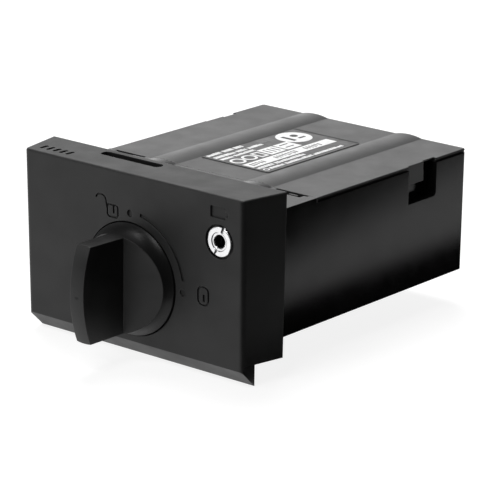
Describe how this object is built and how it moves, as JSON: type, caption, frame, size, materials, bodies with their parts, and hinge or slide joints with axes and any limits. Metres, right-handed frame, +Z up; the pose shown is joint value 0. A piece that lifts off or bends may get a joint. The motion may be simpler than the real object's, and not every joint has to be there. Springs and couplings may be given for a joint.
{
  "type": "battery cassette",
  "caption": "Slide-in battery cassette with a wide front plate, a quarter-turn lock knob with a swinging tongue, and a round charging socket.",
  "frame": {"origin": "centre of the box in plan, level with the lowest edge of the front plate's lip; the cassette's body is centred on X = 0", "axes": "+X to the right of the front plate, +Y from the plate to the rear along the way the cassette slides in, +Z up"},
  "size_m": [0.0836, 0.1224, 0.0523],
  "materials": {
    "black_plate": "satin moulded",
    "black_housing": "satin moulded",
    "black_cover": "fine matt texture",
    "black_knob": "satin moulded",
    "label_film": "printed polyester film",
    "chrome_plate": "bright plated",
    "zinc_steel": "zinc plated",
    "spring_steel": "drawn wire",
    "white_acetal": "natural acetal",
    "seal_rubber": "matt",
    "black_nylon": "matt",
    "tinned_brass": "tinned",
    "contact_gold": "plated contact",
    "nickel_strip": "rolled nickel",
    "cell_steel": "nickel plated",
    "cell_sleeve_film": "shrink film",
    "insulating_paper": "fish paper",
    "grey_foam": "closed-cell foam",
    "circuit_board": "solder mask",
    "chip_epoxy": "moulded epoxy",
    "capacitor_can": "drawn can",
    "ferrite": "sintered",
    "fuse_coating": "dipped coating",
    "lead_insulation_red": "wire insulation",
    "lead_insulation_black": "wire insulation",
    "lead_insulation_white": "wire insulation"
  },
  "bodies": {
    "case": {"cell_divider": "insulating_paper", "cell_left": "cell_steel", "cell_left_insulator": "insulating_paper", "cell_left_positive_cap": "cell_steel", "cell_left_sleeve": "cell_sleeve_film", "cell_right": "cell_steel", "cell_right_insulator": "insulating_paper", "cell_right_positive_cap": "cell_steel", "cell_right_sleeve": "cell_sleeve_film", "charge_inductor": "ferrite", "chip_pins": "tinned_brass", "contact_carrier": "black_nylon", "contact_negative": "contact_gold", "contact_positive": "contact_gold", "control_chip": "chip_epoxy", "detent_plunger": "white_acetal", "detent_spring": "spring_steel", "filter_capacitors": "capacitor_can", "foam_pads": "grey_foam", "front_plate": "black_plate", "jack_barrel": "chrome_plate", "jack_housing": "black_nylon", "jack_lugs": "tinned_brass", "jack_ring_nut": "chrome_plate", "jack_washer": "seal_rubber", "lower_housing": "black_housing", "negative_strip": "nickel_strip", "output_lead_negative": "lead_insulation_black", "output_lead_positive": "lead_insulation_red", "plate_screws": "zinc_steel", "positive_strip": "nickel_strip", "power_transistors": "chip_epoxy", "protection_board": "circuit_board", "rating_label": "label_film", "rear_link": "nickel_strip", "resettable_fuse": "fuse_coating", "spindle_bush": "white_acetal", "thermistor": "chip_epoxy", "thermistor_lead": "lead_insulation_white", "top_cover": "black_cover"},
    "knob": {"lock_knob": "black_knob", "knob_spindle": "white_acetal", "knob_seal": "seal_rubber", "latch_tongue": "zinc_steel", "tongue_washer": "zinc_steel", "tongue_screw": "zinc_steel"}
  },
  "joints": [
    {"name": "knob_turn", "type": "hinge", "parent": "case", "child": "knob", "pos_m": [-0.0004, -0.0354, 0.0228], "axis": [0, 1, 0], "range_deg": [0, 90]}
  ]
}
